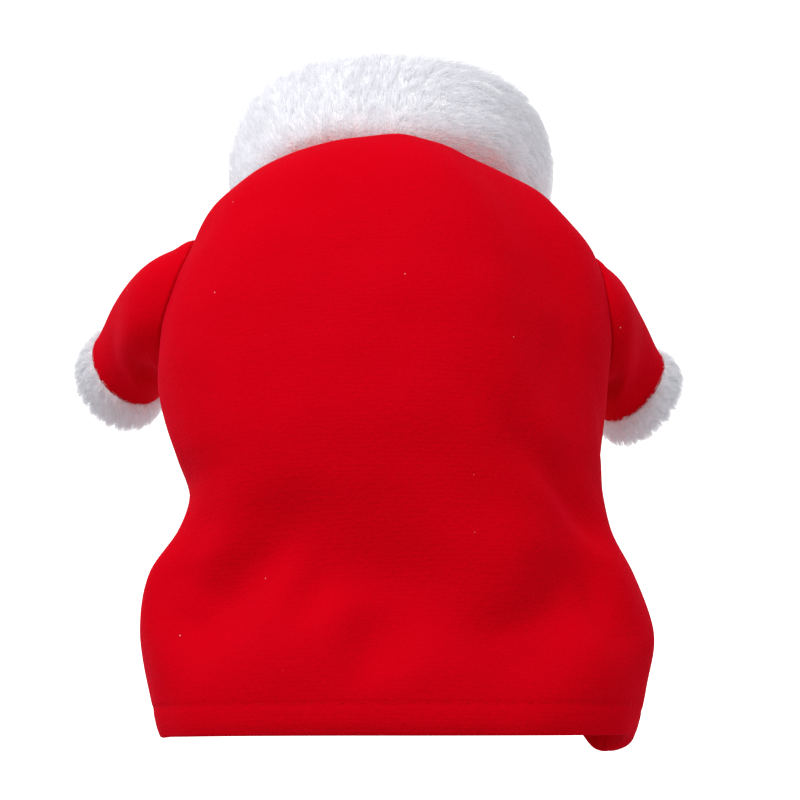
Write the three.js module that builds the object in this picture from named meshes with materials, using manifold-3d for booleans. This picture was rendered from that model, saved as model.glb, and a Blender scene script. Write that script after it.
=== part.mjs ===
// A small dog's santa coat in red fleece with a white plush collar and cuffs, in the shape it has when worn.
// Units are mm. +X is the coat's right as seen from behind, +Y is the chest side and +Z is up towards the neck.
// The origin is the middle of the neck opening.

import * as THREE from 'three';
import { mergeVertices } from 'three/addons/utils/BufferGeometryUtils.js';
import Module from 'manifold-3d';

// Driving sizes
const leanDegrees = 20;
const clothThickness = 2;
const seamGap = 0.3;
const seamAngle = 112;
const hemTurnUp = 16;
const hemRoll = 2.5;
const hemRollHeight = 7;
const sideRollShare = 0.4;
const hemEdgeRound = 0.8;
const stitchGroove = 0.5;
const stitchHalfWidth = 0.5;
const bellyLength = 235;
const collarFlare = 9;
const collarEase = 2;
const collarCornerEase = 4;
const armholeSink = 2;
const sleeveStartOutward = 0.62;
const neckMiddleAboveNeckline = 20;
const clothMillimetresPerDegree = 1.75;

// Grid density of each piece
const backColumns = 44;
const frontColumns = 16;
const bodyRowsAboveHem = 29;
const sleeveColumns = 32;
const sleeveRows = 8;
const cuffColumns = 32;
const collarColumns = 52;

// Body sections from the neckline to just below the back hem, in the upright coat.
// forward, height: middle of the section. tilt: degrees its front dips. left, right, back, front: reach from the
// middle. square: 2 is an ellipse, more is boxier.
const bodySections = [
  { forward: 24, height: 250, tilt: 29, left: 58, right: 56, back: 47, front: 47, square: 2.0 },
  { forward: 23, height: 246, tilt: 26, left: 75, right: 64, back: 60, front: 49, square: 2.0 },
  { forward: 20, height: 238, tilt: 20, left: 87, right: 77, back: 70, front: 54, square: 2.05 },
  { forward: 14, height: 220, tilt: 11, left: 95, right: 95, back: 76, front: 62, square: 2.1 },
  { forward: 9, height: 192, tilt: 4, left: 104, right: 100, back: 77, front: 68, square: 2.15 },
  { forward: 6, height: 160, tilt: 1, left: 104, right: 97, back: 76, front: 70, square: 2.15 },
  { forward: 4, height: 132, tilt: 0, left: 96, right: 95, back: 72, front: 66, square: 2.15 },
  { forward: 4, height: 114, tilt: 0, left: 90, right: 94, back: 69, front: 62, square: 2.15 },
  { forward: 4, height: 98, tilt: 0, left: 95, right: 97, back: 67, front: 60, square: 2.15 },
  { forward: 4, height: 79, tilt: 0, left: 107, right: 107, back: 67, front: 60, square: 2.2 },
  { forward: 4, height: 55, tilt: 0, left: 110, right: 114.5, back: 69, front: 60, square: 2.25 },
  { forward: 4, height: 27, tilt: 0, left: 104, right: 110, back: 69, front: 59, square: 2.25 },
  { forward: 4, height: 0, tilt: 0, left: 99, right: 104, back: 66, front: 58, square: 2.25 },
  { forward: 4, height: -12, tilt: 0, left: 98, right: 103, back: 65, front: 58, square: 2.25 },
];

// Folds of the body cloth. around: degrees from the centre back, + to the right. down: mm below the neckline.
// run: degrees from straight down, + leaning right. deep: mm, - for a valley and + for a ridge.
const bodyFolds = [
  { around: 40, down: 100, long: 110, wide: 38, run: 22, deep: -4.5 },
  { around: 54, down: 168, long: 95, wide: 24, run: 68, deep: -2.5 },
  { around: -24, down: 194, long: 50, wide: 18, run: 90, deep: -2.2 },
  { around: -40, down: 226, long: 50, wide: 18, run: -10, deep: -4 },
  { around: -52, down: 238, long: 36, wide: 14, run: 67, deep: 1.8 },
  { around: -19, down: 229, long: 26, wide: 24, run: 0, deep: 2.2 },
  { around: -7, down: 243, long: 26, wide: 20, run: 90, deep: 1.6 },
  { around: 1, down: 217, long: 30, wide: 34, run: 0, deep: -2 },
  { around: -3, down: 260, long: 22, wide: 18, run: 0, deep: -1.5 },
  { around: -11, down: 274, long: 22, wide: 18, run: 0, deep: -1.2 },
  { around: 26, down: 237, long: 56, wide: 17, run: -41, deep: -3.6 },
  { around: 24, down: 257, long: 36, wide: 14, run: -66, deep: 1.6 },
  { around: 53, down: 234, long: 24, wide: 18, run: 0, deep: -2 },
  { around: -80, down: 150, long: 55, wide: 20, run: -50, deep: -2.2 },
  { around: 84, down: 158, long: 55, wide: 20, run: 50, deep: -2.2 },
  { around: -92, down: 214, long: 60, wide: 20, run: -20, deep: -2.5 },
  { around: 94, down: 222, long: 60, wide: 20, run: 15, deep: -2.5 },
  { around: 148, down: 130, long: 110, wide: 30, run: 10, deep: -2.5 },
  { around: -158, down: 150, long: 100, wide: 28, run: -12, deep: -2 },
];

// Sleeves. around, down, wide, tall: the armhole on the body. ring: middle of the sleeve end. axis: the way the
// sleeve end faces. puff: how full the cap is.
const sleeveSizes = {
  left: {
    side: -1, around: 101, down: 72, wide: 27, tall: 43.5, puff: 1.62, endRadius: 20,
    ring: [-126.4, 68, 192.2], axis: [-0.60, 0.75, -0.28], cuffLength: 11.5, cuffDrop: 4.5,
  },
  right: {
    side: 1, around: 103, down: 82, wide: 27, tall: 40, puff: 1.25, endRadius: 20,
    ring: [114, 60, 180.5], axis: [0.69, 0.58, -0.43], cuffLength: 9.5, cuffDrop: 3,
  },
};

// The hem's edge above the level of the centre back. lift: mm at the centre back. rise: mm more at the side.
// drop: mm that the side hangs lower again, from dropFrom to dropTo degrees round. The belly's shorter cut runs
// in from bellyFrom to bellyTo degrees.
const hemShape = {
  left: { lift: 1.5, rise: 6.3, drop: 0, dropFrom: 70, dropTo: 120, bellyFrom: 100, bellyTo: 165 },
  right: { lift: 1.5, rise: 7.9, drop: 10, dropFrom: 70, dropTo: 120, bellyFrom: 116, bellyTo: 168 },
};

// Soft creases of both sleeves. turn: degrees round the sleeve. along: 0 at the armhole and 1 at the cuff.
const sleeveFolds = [
  { turn: 200, along: 0.45, long: 70, wide: 0.3, deep: -1.6 },
  { turn: 150, along: 0.72, long: 60, wide: 0.22, deep: -1.3 },
  { turn: 95, along: 0.6, long: 50, wide: 0.3, deep: -1.5 },
  { turn: 250, along: 0.75, long: 55, wide: 0.25, deep: -1.2 },
];

// Cuff section as fractions of its length against mm out from the sleeve end.
const cuffSection = [
  [0.0, 1.5], [0.2, 5], [0.5, 7], [0.85, 6], [1.0, 2], [0.94, -2.5], [0.6, -4], [0.3, -3.5], [0.0, -2.5],
];

// Collar section: mm along the neck against mm out from the neckline.
const collarSection = [
  [0, 1.0], [4, 7], [12, 12], [24, 13.5], [36, 13], [45, 9], [49, 2], [48, -4], [42, -7.5], [28, -8], [10, -6], [0, -3],
];

// The body surface
const radians = Math.PI / 180;

const downAtSection = [0];
for (let index = 1; index < bodySections.length; index += 1) {
  const above = bodySections[index - 1];
  const below = bodySections[index];
  const alongY = backPoint(below)[0] - backPoint(above)[0];
  const alongZ = backPoint(below)[1] - backPoint(above)[1];
  downAtSection.push(downAtSection[index - 1] + Math.hypot(alongY, alongZ));
}
const backHemDown = downAtSection[bodySections.length - 2];

function backPoint(section) {
  const tilt = section.tilt * radians;
  return [section.forward - section.back * Math.cos(tilt), section.height + section.back * Math.sin(tilt)];
}

function sectionValue(name, down) {
  const last = bodySections.length - 1;
  let index = 0;
  while (index < last - 1 && down > downAtSection[index + 1]) {
    index += 1;
  }
  const slope = (k) => {
    const rise = bodySections[k + 1][name] - bodySections[k][name];
    return rise / (downAtSection[k + 1] - downAtSection[k]);
  };
  const tangent = (k) => {
    if (k === 0) {
      return slope(0);
    }
    if (k === last) {
      return slope(last - 1);
    }
    const before = downAtSection[k] - downAtSection[k - 1];
    const after = downAtSection[k + 1] - downAtSection[k];
    return (slope(k - 1) * after + slope(k) * before) / (before + after);
  };
  const span = downAtSection[index + 1] - downAtSection[index];
  const t = (down - downAtSection[index]) / span;
  const start = bodySections[index][name];
  const end = bodySections[index + 1][name];
  return (1 + 2 * t) * (1 - t) ** 2 * start + t * (1 - t) ** 2 * span * tangent(index)
    + t * t * (3 - 2 * t) * end + t * t * (t - 1) * span * tangent(index + 1);
}

function plainBody(angle, down) {
  const power = 2 / sectionValue('square', down);
  const sine = Math.sin(angle);
  const cosine = Math.cos(angle);
  const reachAcross = sectionValue(sine < 0 ? 'left' : 'right', down);
  const reachAlong = sectionValue(cosine > 0 ? 'back' : 'front', down);
  const across = reachAcross * Math.sign(sine) * Math.abs(sine) ** power;
  const along = reachAlong * Math.sign(cosine) * Math.abs(cosine) ** power;
  const tilt = sectionValue('tilt', down) * radians;
  const forward = sectionValue('forward', down) - along * Math.cos(tilt);
  const height = sectionValue('height', down) + along * Math.sin(tilt);
  return new THREE.Vector3(across, forward, height);
}

function bodyNormal(angle, down) {
  const turn = 0.004;
  const step = 0.5;
  const round = plainBody(angle + turn, down).sub(plainBody(angle - turn, down));
  const fall = plainBody(angle, down + step).sub(plainBody(angle, down - step));
  return fall.cross(round).normalize();
}

function foldDepth(angle, down) {
  let depth = 0;
  for (const fold of bodyFolds) {
    let turned = angle / radians - fold.around;
    turned -= 360 * Math.round(turned / 360);
    const sideways = turned * clothMillimetresPerDegree;
    const lower = down - fold.down;
    const run = fold.run * radians;
    const along = lower * Math.cos(run) + sideways * Math.sin(run);
    const across = sideways * Math.cos(run) - lower * Math.sin(run);
    depth += fold.deep * Math.exp(-((2 * along / fold.long) ** 2) - (2 * across / fold.wide) ** 2);
  }
  return depth;
}

function bodyPoint(angle, down, offset) {
  const normal = bodyNormal(angle, down);
  return plainBody(angle, down).addScaledVector(normal, foldDepth(angle, down) + offset);
}

// Length of the cloth all round: level over the back, a little uneven at the sides, shorter at the belly.
function hemDown(angle) {
  let degrees = angle / radians;
  degrees -= 360 * Math.round(degrees / 360);
  const away = Math.abs(degrees);
  const hem = degrees < 0 ? hemShape.left : hemShape.right;
  const drop = hem.drop * THREE.MathUtils.smoothstep(away, hem.dropFrom, hem.dropTo);
  const backAndSide = backHemDown - hem.lift - hem.rise * (away / 90) ** 2 + drop;
  const bellyShare = THREE.MathUtils.smoothstep(away, hem.bellyFrom, hem.bellyTo);
  return backAndSide + (bellyLength - backAndSide) * bellyShare;
}

// How the outside and the inside of the cloth lie near the turned-up hem, by the distance above its edge.
// The edge rolls under most at the centre back and least at the sides.
function rollUnder(above, angle) {
  const share = sideRollShare + (1 - sideRollShare) * Math.cos(angle) ** 2;
  return above < hemRollHeight ? hemRoll * share * (1 - above / hemRollHeight) ** 2 : 0;
}

function hemOutside(above, angle) {
  const groove = Math.abs(above - hemTurnUp) < stitchHalfWidth ? stitchGroove : 0;
  const edge = above < hemEdgeRound ? hemEdgeRound : 0;
  return -groove - rollUnder(above, angle) - edge;
}

function hemInside(above, angle) {
  const second = above < hemTurnUp + stitchHalfWidth ? clothThickness : 0;
  const edge = above < hemEdgeRound ? hemEdgeRound : 0;
  return -clothThickness - second - rollUnder(above, angle) + edge;
}

// Mesh making
function sheetSolid(outside, inside, columnCount, rowCount, closedRound) {
  const points = [];
  const faces = [];
  for (const surface of [outside, inside]) {
    for (let column = 0; column < columnCount; column += 1) {
      for (let row = 0; row < rowCount; row += 1) {
        points.push(surface(column, row));
      }
    }
  }
  const outer = (column, row) => (column % columnCount) * rowCount + row;
  const inner = (column, row) => columnCount * rowCount + outer(column, row);
  const quad = (a, b, c, d) => {
    faces.push(a, b, c);
    faces.push(a, c, d);
  };
  const spans = closedRound ? columnCount : columnCount - 1;
  for (let column = 0; column < spans; column += 1) {
    const next = column + 1;
    for (let row = 0; row < rowCount - 1; row += 1) {
      quad(outer(column, row), outer(column, row + 1), outer(next, row + 1), outer(next, row));
      quad(inner(column, row), inner(next, row), inner(next, row + 1), inner(column, row + 1));
    }
    const end = rowCount - 1;
    quad(outer(column, 0), outer(next, 0), inner(next, 0), inner(column, 0));
    quad(outer(column, end), inner(column, end), inner(next, end), outer(next, end));
  }
  if (!closedRound) {
    const edge = columnCount - 1;
    for (let row = 0; row < rowCount - 1; row += 1) {
      quad(outer(0, row), inner(0, row), inner(0, row + 1), outer(0, row + 1));
      quad(outer(edge, row), outer(edge, row + 1), inner(edge, row + 1), inner(edge, row));
    }
  }
  return solidGeometry(points, faces);
}

function ringSolid(sectionPoint, columnCount, sectionCount) {
  const points = [];
  const faces = [];
  for (let column = 0; column < columnCount; column += 1) {
    for (let step = 0; step < sectionCount; step += 1) {
      points.push(sectionPoint(column, step));
    }
  }
  for (let column = 0; column < columnCount; column += 1) {
    for (let step = 0; step < sectionCount; step += 1) {
      const next = ((column + 1) % columnCount) * sectionCount;
      const here = column * sectionCount;
      const after = (step + 1) % sectionCount;
      faces.push(here + step, here + after, next + after);
      faces.push(here + step, next + after, next + step);
    }
  }
  return solidGeometry(points, faces);
}

function solidGeometry(points, faces) {
  const geometry = new THREE.BufferGeometry();
  geometry.setAttribute('position', new THREE.Float32BufferAttribute(points.flatMap((p) => p.toArray()), 3));
  let volume = 0;
  for (let start = 0; start < faces.length; start += 3) {
    const [a, b, c] = [points[faces[start]], points[faces[start + 1]], points[faces[start + 2]]];
    volume += a.dot(b.clone().cross(c)) / 6;
  }
  geometry.setIndex(volume < 0 ? faces.toReversed() : faces);
  return geometry;
}

// Solid booleans
const wasm = await Module();
wasm.setup();

function toManifold(geometry) {
  const plain = new THREE.BufferGeometry();
  plain.setAttribute('position', geometry.getAttribute('position').clone());
  plain.setIndex(geometry.getIndex().clone());
  const merged = mergeVertices(plain, 1e-4);
  const mesh = new wasm.Mesh({
    numProp: 3,
    vertProperties: Float32Array.from(merged.getAttribute('position').array),
    triVerts: Uint32Array.from(merged.getIndex().array),
  });
  return new wasm.Manifold(mesh);
}

function toGeometry(manifold) {
  const mesh = manifold.getMesh();
  const geometry = new THREE.BufferGeometry();
  geometry.setAttribute('position', new THREE.BufferAttribute(Float32Array.from(mesh.vertProperties), 3));
  geometry.setIndex(new THREE.BufferAttribute(Uint32Array.from(mesh.triVerts), 1));
  return geometry;
}

// Back and front panels. hemRows: mm above the hem's edge, from just over the stitch line to the edge itself.
const hemRows = [hemTurnUp + 1, hemTurnUp, hemTurnUp - 1, hemRollHeight + 2, 4, 1.2, 0];
const bodyRowCount = bodyRowsAboveHem + hemRows.length;

function rowDown(angle, row) {
  const hem = hemDown(angle);
  if (row >= bodyRowsAboveHem) {
    return hem - hemRows[row - bodyRowsAboveHem];
  }
  return (hem - hemRows[0]) * (row / bodyRowsAboveHem);
}

function panelAngle(from, to, column, columnCount, row) {
  const plain = THREE.MathUtils.lerp(from, to, column / (columnCount - 1));
  if (column > 0 && column < columnCount - 1) {
    return plain;
  }
  const down = rowDown(plain, row);
  const turn = 0.01;
  const reach = plainBody(plain + turn, down).distanceTo(plainBody(plain - turn, down)) / (2 * turn);
  const inset = seamGap / 2 / reach;
  return column === 0 ? plain + inset : plain - inset;
}

function panelSolid(fromDegrees, toDegrees, columnCount) {
  const surface = (layer) => (column, row) => {
    const angle = panelAngle(fromDegrees * radians, toDegrees * radians, column, columnCount, row);
    const down = rowDown(angle, row);
    return bodyPoint(angle, down, layer(hemDown(angle) - down, angle));
  };
  return sheetSolid(surface(hemOutside), surface(hemInside), columnCount, bodyRowCount, false);
}

// The space the body takes up, grown by the seam gap, so that a sleeve can be trimmed to stand just off it.
function bodyEnvelope() {
  const coreDepth = 20;
  const angles = [];
  for (let column = 0; column < backColumns - 1; column += 1) {
    angles.push(THREE.MathUtils.lerp(-seamAngle, seamAngle, column / (backColumns - 1)) * radians);
  }
  for (let column = 0; column < frontColumns - 1; column += 1) {
    angles.push(THREE.MathUtils.lerp(seamAngle, 360 - seamAngle, column / (frontColumns - 1)) * radians);
  }
  const outside = (column, row) => bodyPoint(angles[column], rowDown(angles[column], row), seamGap);
  const core = (column, row) => bodyPoint(angles[column], rowDown(angles[column], row), -coreDepth);
  return sheetSolid(outside, core, angles.length, bodyRowsAboveHem, true);
}

// Sleeves
function armholePoint(size, turn, inset, offset) {
  const wide = size.wide - inset / clothMillimetresPerDegree;
  const tall = size.tall - inset;
  const angle = size.side * radians * (size.around + wide * Math.cos(turn));
  return bodyPoint(angle, size.down + tall * Math.sin(turn), offset);
}

function sleeveFrame(size) {
  const axis = new THREE.Vector3(...size.axis).normalize();
  const low = new THREE.Vector3(0, 0, -1);
  low.addScaledVector(axis, -low.dot(axis)).normalize();
  const inward = axis.clone().cross(low);
  const towardsChest = new THREE.Vector3(-size.side, 0.6, 0);
  if (inward.dot(towardsChest) < 0) {
    inward.negate();
  }
  return { centre: new THREE.Vector3(...size.ring), axis, low, inward };
}

function sleevePoint(size, turn, along, inset) {
  const frame = sleeveFrame(size);
  const root = armholePoint(size, turn, inset, seamGap - armholeSink);
  const angle = size.side * radians * (size.around + size.wide * Math.cos(turn));
  const normal = bodyNormal(angle, size.down + size.tall * Math.sin(turn));
  const radius = size.endRadius - inset;
  const end = frame.centre.clone()
    .addScaledVector(frame.inward, radius * Math.cos(turn))
    .addScaledVector(frame.low, radius * Math.sin(turn));
  const reach = end.clone().sub(root);
  const length = reach.length();
  const startWay = normal.multiplyScalar(sleeveStartOutward * length * size.puff)
    .addScaledVector(reach, (1 - sleeveStartOutward) * size.puff);
  const endWay = frame.axis.clone().multiplyScalar(length);
  const t = along;
  const point = root.multiplyScalar((1 + 2 * t) * (1 - t) ** 2)
    .addScaledVector(startWay, t * (1 - t) ** 2)
    .addScaledVector(end, t * t * (3 - 2 * t))
    .addScaledVector(endWay, t * t * (t - 1));
  const outward = frame.inward.clone().multiplyScalar(Math.cos(turn)).addScaledVector(frame.low, Math.sin(turn));
  return point.addScaledVector(outward, sleeveFoldDepth(turn, along));
}

function sleeveFoldDepth(turn, along) {
  let depth = 0;
  for (const fold of sleeveFolds) {
    let turned = turn / radians - fold.turn;
    turned -= 360 * Math.round(turned / 360);
    const across = 2 * (along - fold.along) / fold.wide;
    depth += fold.deep * Math.exp(-((2 * turned / fold.long) ** 2) - across ** 2);
  }
  return depth;
}

function sleeveSolid(size, envelope) {
  const surface = (inset) => (column, row) => {
    const turn = 2 * Math.PI * column / sleeveColumns;
    return sleevePoint(size, turn, row / (sleeveRows - 1), inset);
  };
  const tube = sheetSolid(surface(0), surface(clothThickness), sleeveColumns, sleeveRows, true);
  return toGeometry(toManifold(tube).subtract(envelope));
}

// The armhole: the sleeve's own opening carried through the body cloth.
function armholePlug(size) {
  const rimOffsets = [-8, 5];
  const tipReach = 20;
  const points = [];
  const faces = [];
  for (const offset of rimOffsets) {
    for (let column = 0; column < sleeveColumns; column += 1) {
      const turn = 2 * Math.PI * column / sleeveColumns;
      points.push(armholePoint(size, turn, clothThickness, offset));
    }
  }
  const middle = size.side * radians * size.around;
  points.push(bodyPoint(middle, size.down, -tipReach));
  points.push(bodyPoint(middle, size.down, tipReach));
  for (let column = 0; column < sleeveColumns; column += 1) {
    const next = (column + 1) % sleeveColumns;
    faces.push(column, next, sleeveColumns + next);
    faces.push(column, sleeveColumns + next, sleeveColumns + column);
    faces.push(2 * sleeveColumns, next, column);
    faces.push(2 * sleeveColumns + 1, sleeveColumns + column, sleeveColumns + next);
  }
  return solidGeometry(points, faces);
}

// Cuffs: a plush band round each sleeve end, its pile falling a little downwards.
function cuffSolid(size) {
  const frame = sleeveFrame(size);
  const sectionPoint = (column, step) => {
    const turn = 2 * Math.PI * column / cuffColumns;
    const [share, out] = cuffSection[step];
    const radius = size.endRadius + out;
    return frame.centre.clone()
      .addScaledVector(frame.axis, seamGap + share * size.cuffLength)
      .add(new THREE.Vector3(0, 0, -size.cuffDrop * share))
      .addScaledVector(frame.inward, radius * Math.cos(turn))
      .addScaledVector(frame.low, radius * Math.sin(turn));
  };
  return ringSolid(sectionPoint, cuffColumns, cuffSection.length);
}

// Collar: a deep plush band standing round the neckline, fuller at the back corners.
function collarSolid() {
  const neck = bodySections[0];
  const tilt = neck.tilt * radians;
  const axis = new THREE.Vector3(0, Math.sin(tilt), Math.cos(tilt));
  const backward = new THREE.Vector3(0, -Math.cos(tilt), Math.sin(tilt));
  const across = new THREE.Vector3(1, 0, 0);
  const centre = new THREE.Vector3(0, neck.forward, neck.height);
  const flare = Math.tan(collarFlare * radians);
  const sectionPoint = (column, step) => {
    const angle = 2 * Math.PI * column / collarColumns - Math.PI;
    const sine = Math.sin(angle);
    const cosine = Math.cos(angle);
    const reachAcross = sine < 0 ? neck.left : neck.right;
    const reachAlong = cosine > 0 ? neck.back : neck.front;
    const [along, out] = collarSection[step];
    const outward = across.clone().multiplyScalar(sine / reachAcross)
      .addScaledVector(backward, cosine / reachAlong).normalize();
    const corner = cosine > 0 ? collarCornerEase * (2 * sine * cosine) ** 2 : 0;
    const rise = step === 0 || step === collarSection.length - 1 ? 0 : 1;
    return centre.clone()
      .addScaledVector(across, reachAcross * sine)
      .addScaledVector(backward, reachAlong * cosine)
      .addScaledVector(axis, seamGap + along)
      .addScaledVector(outward, out + flare * along + rise * (collarEase + corner));
  };
  return ringSolid(sectionPoint, collarColumns, collarSection.length);
}

// Materials
function fleeceRed() {
  return new THREE.MeshStandardMaterial({ color: '#cf0414', roughness: 0.95, metalness: 0, side: THREE.DoubleSide });
}

function plushWhite() {
  return new THREE.MeshStandardMaterial({ color: '#ededf4', roughness: 0.98, metalness: 0, side: THREE.DoubleSide });
}

// Assembly: the upright coat is moved to the middle of its neck opening and leaned forward.
const group = new THREE.Group();
group.name = 'dog_santa_coat';

const neckTilt = bodySections[0].tilt * radians;
const neckMiddle = new THREE.Vector3(0, bodySections[0].forward, bodySections[0].height);
neckMiddle.addScaledVector(new THREE.Vector3(0, Math.sin(neckTilt), Math.cos(neckTilt)), neckMiddleAboveNeckline);
const intoPlace = new THREE.Matrix4().makeRotationX(-leanDegrees * radians)
  .multiply(new THREE.Matrix4().makeTranslation(-neckMiddle.x, -neckMiddle.y, -neckMiddle.z));

function addPiece(name, geometry, material) {
  const placed = geometry.clone();
  placed.applyMatrix4(intoPlace);
  placed.computeVertexNormals();
  const mesh = new THREE.Mesh(placed, material);
  mesh.name = name;
  group.add(mesh);
}

const envelope = toManifold(bodyEnvelope());
const armholes = toManifold(armholePlug(sleeveSizes.left)).add(toManifold(armholePlug(sleeveSizes.right)));
const backPanel = toManifold(panelSolid(-seamAngle, seamAngle, backColumns)).subtract(armholes);
const frontPanel = toManifold(panelSolid(seamAngle, 360 - seamAngle, frontColumns)).subtract(armholes);

addPiece('back', toGeometry(backPanel), fleeceRed());
addPiece('front', toGeometry(frontPanel), fleeceRed());
addPiece('sleeve_left', sleeveSolid(sleeveSizes.left, envelope), fleeceRed());
addPiece('sleeve_right', sleeveSolid(sleeveSizes.right, envelope), fleeceRed());
addPiece('collar', collarSolid(), plushWhite());
addPiece('cuff_left', cuffSolid(sleeveSizes.left), plushWhite());
addPiece('cuff_right', cuffSolid(sleeveSizes.right), plushWhite());

export default group;
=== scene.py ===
import math

import bpy
import numpy as np
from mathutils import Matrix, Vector


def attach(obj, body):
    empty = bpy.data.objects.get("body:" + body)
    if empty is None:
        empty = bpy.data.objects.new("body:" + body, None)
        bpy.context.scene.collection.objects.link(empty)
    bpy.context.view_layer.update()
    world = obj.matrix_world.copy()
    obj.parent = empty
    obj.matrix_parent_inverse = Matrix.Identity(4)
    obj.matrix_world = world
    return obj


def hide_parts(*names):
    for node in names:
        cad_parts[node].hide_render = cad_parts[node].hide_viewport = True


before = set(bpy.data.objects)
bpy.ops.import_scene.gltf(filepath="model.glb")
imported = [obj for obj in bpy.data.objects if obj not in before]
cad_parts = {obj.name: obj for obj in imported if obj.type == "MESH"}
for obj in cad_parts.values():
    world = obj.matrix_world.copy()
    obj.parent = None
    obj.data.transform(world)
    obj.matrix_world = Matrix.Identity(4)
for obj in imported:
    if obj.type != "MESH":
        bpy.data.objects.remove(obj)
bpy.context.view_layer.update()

# Studio: a white paper sweep under and behind the coat, in a white room. One large soft light stands high on
# the left, with a weak one low on either side. The camera is behind the coat, a little above the middle of
# its back.
scene = bpy.context.scene
scene.view_settings.view_transform = "Standard"
# Light has to pass through many fine fibres of the pile before it is lost.
scene.cycles.transparent_max_bounces = 32
scene.cycles.diffuse_bounces = 8
look_at = Vector((0.004, -0.0639, -0.0918))
camera_rise = math.radians(5)
camera_distance = 1.0
camera_data = bpy.data.cameras.new("camera")
camera_data.lens = 100
camera_data.sensor_width = 36
camera = bpy.data.objects.new("camera", camera_data)
camera.location = look_at + camera_distance * Vector((0, -math.cos(camera_rise), math.sin(camera_rise)))
camera.rotation_euler = (math.pi / 2 - camera_rise, 0, 0)
scene.collection.objects.link(camera)
scene.camera = camera


def soft_light(name, place, size, watts):
    data = bpy.data.lights.new(name, "AREA")
    data.shape = "DISK"
    data.size = size
    data.energy = watts
    light = bpy.data.objects.new(name, data)
    light.location = place
    light.rotation_euler = (look_at - Vector(place)).to_track_quat("-Z", "Y").to_euler()
    scene.collection.objects.link(light)


soft_light("key_light", (-0.46, -0.72, 1.24), size=0.6, watts=16.2)
soft_light("fill_light", (1.15, -0.6, -0.1), size=0.8, watts=1.5)
soft_light("left_fill_light", (-1.15, -0.3, -0.05), size=0.8, watts=0.9)

world = bpy.data.worlds.new("studio")
scene.world = world
world.use_nodes = True
room_light = world.node_tree.nodes["Background"]
room_light.inputs["Color"].default_value = (1, 1, 1, 1)
room_light.inputs["Strength"].default_value = 0.44


def new_material(name):
    material = bpy.data.materials.new(name)
    material.use_nodes = True
    tree = material.node_tree
    return material, tree, tree.nodes["Principled BSDF"]


# The paper runs level under the coat and, behind it, bends up in a wide curve.
# The part behind is lit up to white.
floor_drop = -0.42
floor_near = -4.0
lit_from = 0.36
bend_start = 1.2
bend_radius = 1.5
bend_steps = 24
wall_top = 4.5
paper_half_width = 5.0


def paper(name, line, shade, glow):
    points = [(x, y, z) for y, z in line for x in (-paper_half_width, paper_half_width)]
    faces = [(2 * k, 2 * k + 1, 2 * k + 3, 2 * k + 2) for k in range(len(line) - 1)]
    mesh = bpy.data.meshes.new(name)
    mesh.from_pydata(points, [], faces)
    for face in mesh.polygons:
        face.use_smooth = True
    sheet = bpy.data.objects.new(name, mesh)
    scene.collection.objects.link(sheet)
    material, tree, shader = new_material(name)
    shader.inputs["Base Color"].default_value = (shade, shade, shade, 1)
    shader.inputs["Roughness"].default_value = 0.9
    shader.inputs["Emission Color"].default_value = (1, 1, 1, 1)
    shader.inputs["Emission Strength"].default_value = glow
    mesh.materials.append(material)
    return sheet


behind = [(lit_from, floor_drop)]
for step in range(bend_steps + 1):
    bend = step * math.pi / (2 * bend_steps)
    away = bend_start + bend_radius * math.sin(bend)
    behind.append((away, floor_drop + bend_radius * (1 - math.cos(bend))))
behind.append((bend_start + bend_radius, wall_top))
floor = paper("floor", [(floor_near, floor_drop), (lit_from, floor_drop)], shade=0.52, glow=0.0)
backdrop = paper("backdrop", behind, shade=0.9, glow=0.8)

# Back panel: brushed red fleece cut on the fold from the neck seam to a straight hem.
# It lies in one broad curve, with the soft folds that the waist and hips press into it.
# The hem is turned up once and topstitched, so its last 13 mm are two layers.
MM = 0.001
lean = math.radians(20)
cloth = 2.0
seam_gap = 0.3
seam_angle = 112.0
mean_radius = 95.0
cloth_mm_per_degree = 1.75

# Body sections of the upright coat in mm and degrees, from the neckline to just below the back hem.
# square is 2 for a round section and more for a squarer one.
section_columns = ("forward", "height", "tilt", "left", "right", "back", "front", "square")
section_rows = [
    (24, 250, 29, 58, 56, 47, 47, 2.0),
    (23, 246, 26, 75, 64, 60, 49, 2.0),
    (20, 238, 20, 87, 77, 70, 54, 2.05),
    (14, 220, 11, 95, 95, 76, 62, 2.1),
    (9, 192, 4, 104, 100, 77, 68, 2.15),
    (6, 160, 1, 104, 97, 76, 70, 2.15),
    (4, 132, 0, 96, 95, 72, 66, 2.15),
    (4, 114, 0, 90, 94, 69, 62, 2.15),
    (4, 98, 0, 95, 97, 67, 60, 2.15),
    (4, 79, 0, 107, 107, 67, 60, 2.2),
    (4, 55, 0, 110, 114.5, 69, 60, 2.25),
    (4, 27, 0, 104, 110, 69, 59, 2.25),
    (4, 0, 0, 99, 104, 66, 58, 2.25),
    (4, -12, 0, 98, 103, 65, 58, 2.25),
]
sections = {name: np.array([row[k] for row in section_rows], float) for k, name in enumerate(section_columns)}
neckline = dict(zip(section_columns, section_rows[0]))
section_tilt = np.radians(sections["tilt"])
back_line = np.stack([sections["forward"] - sections["back"] * np.cos(section_tilt),
                      sections["height"] + sections["back"] * np.sin(section_tilt)], 1)
section_down = np.r_[0, np.cumsum(np.linalg.norm(np.diff(back_line, axis=0), axis=1))]
back_hem_down = section_down[-2]


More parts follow.
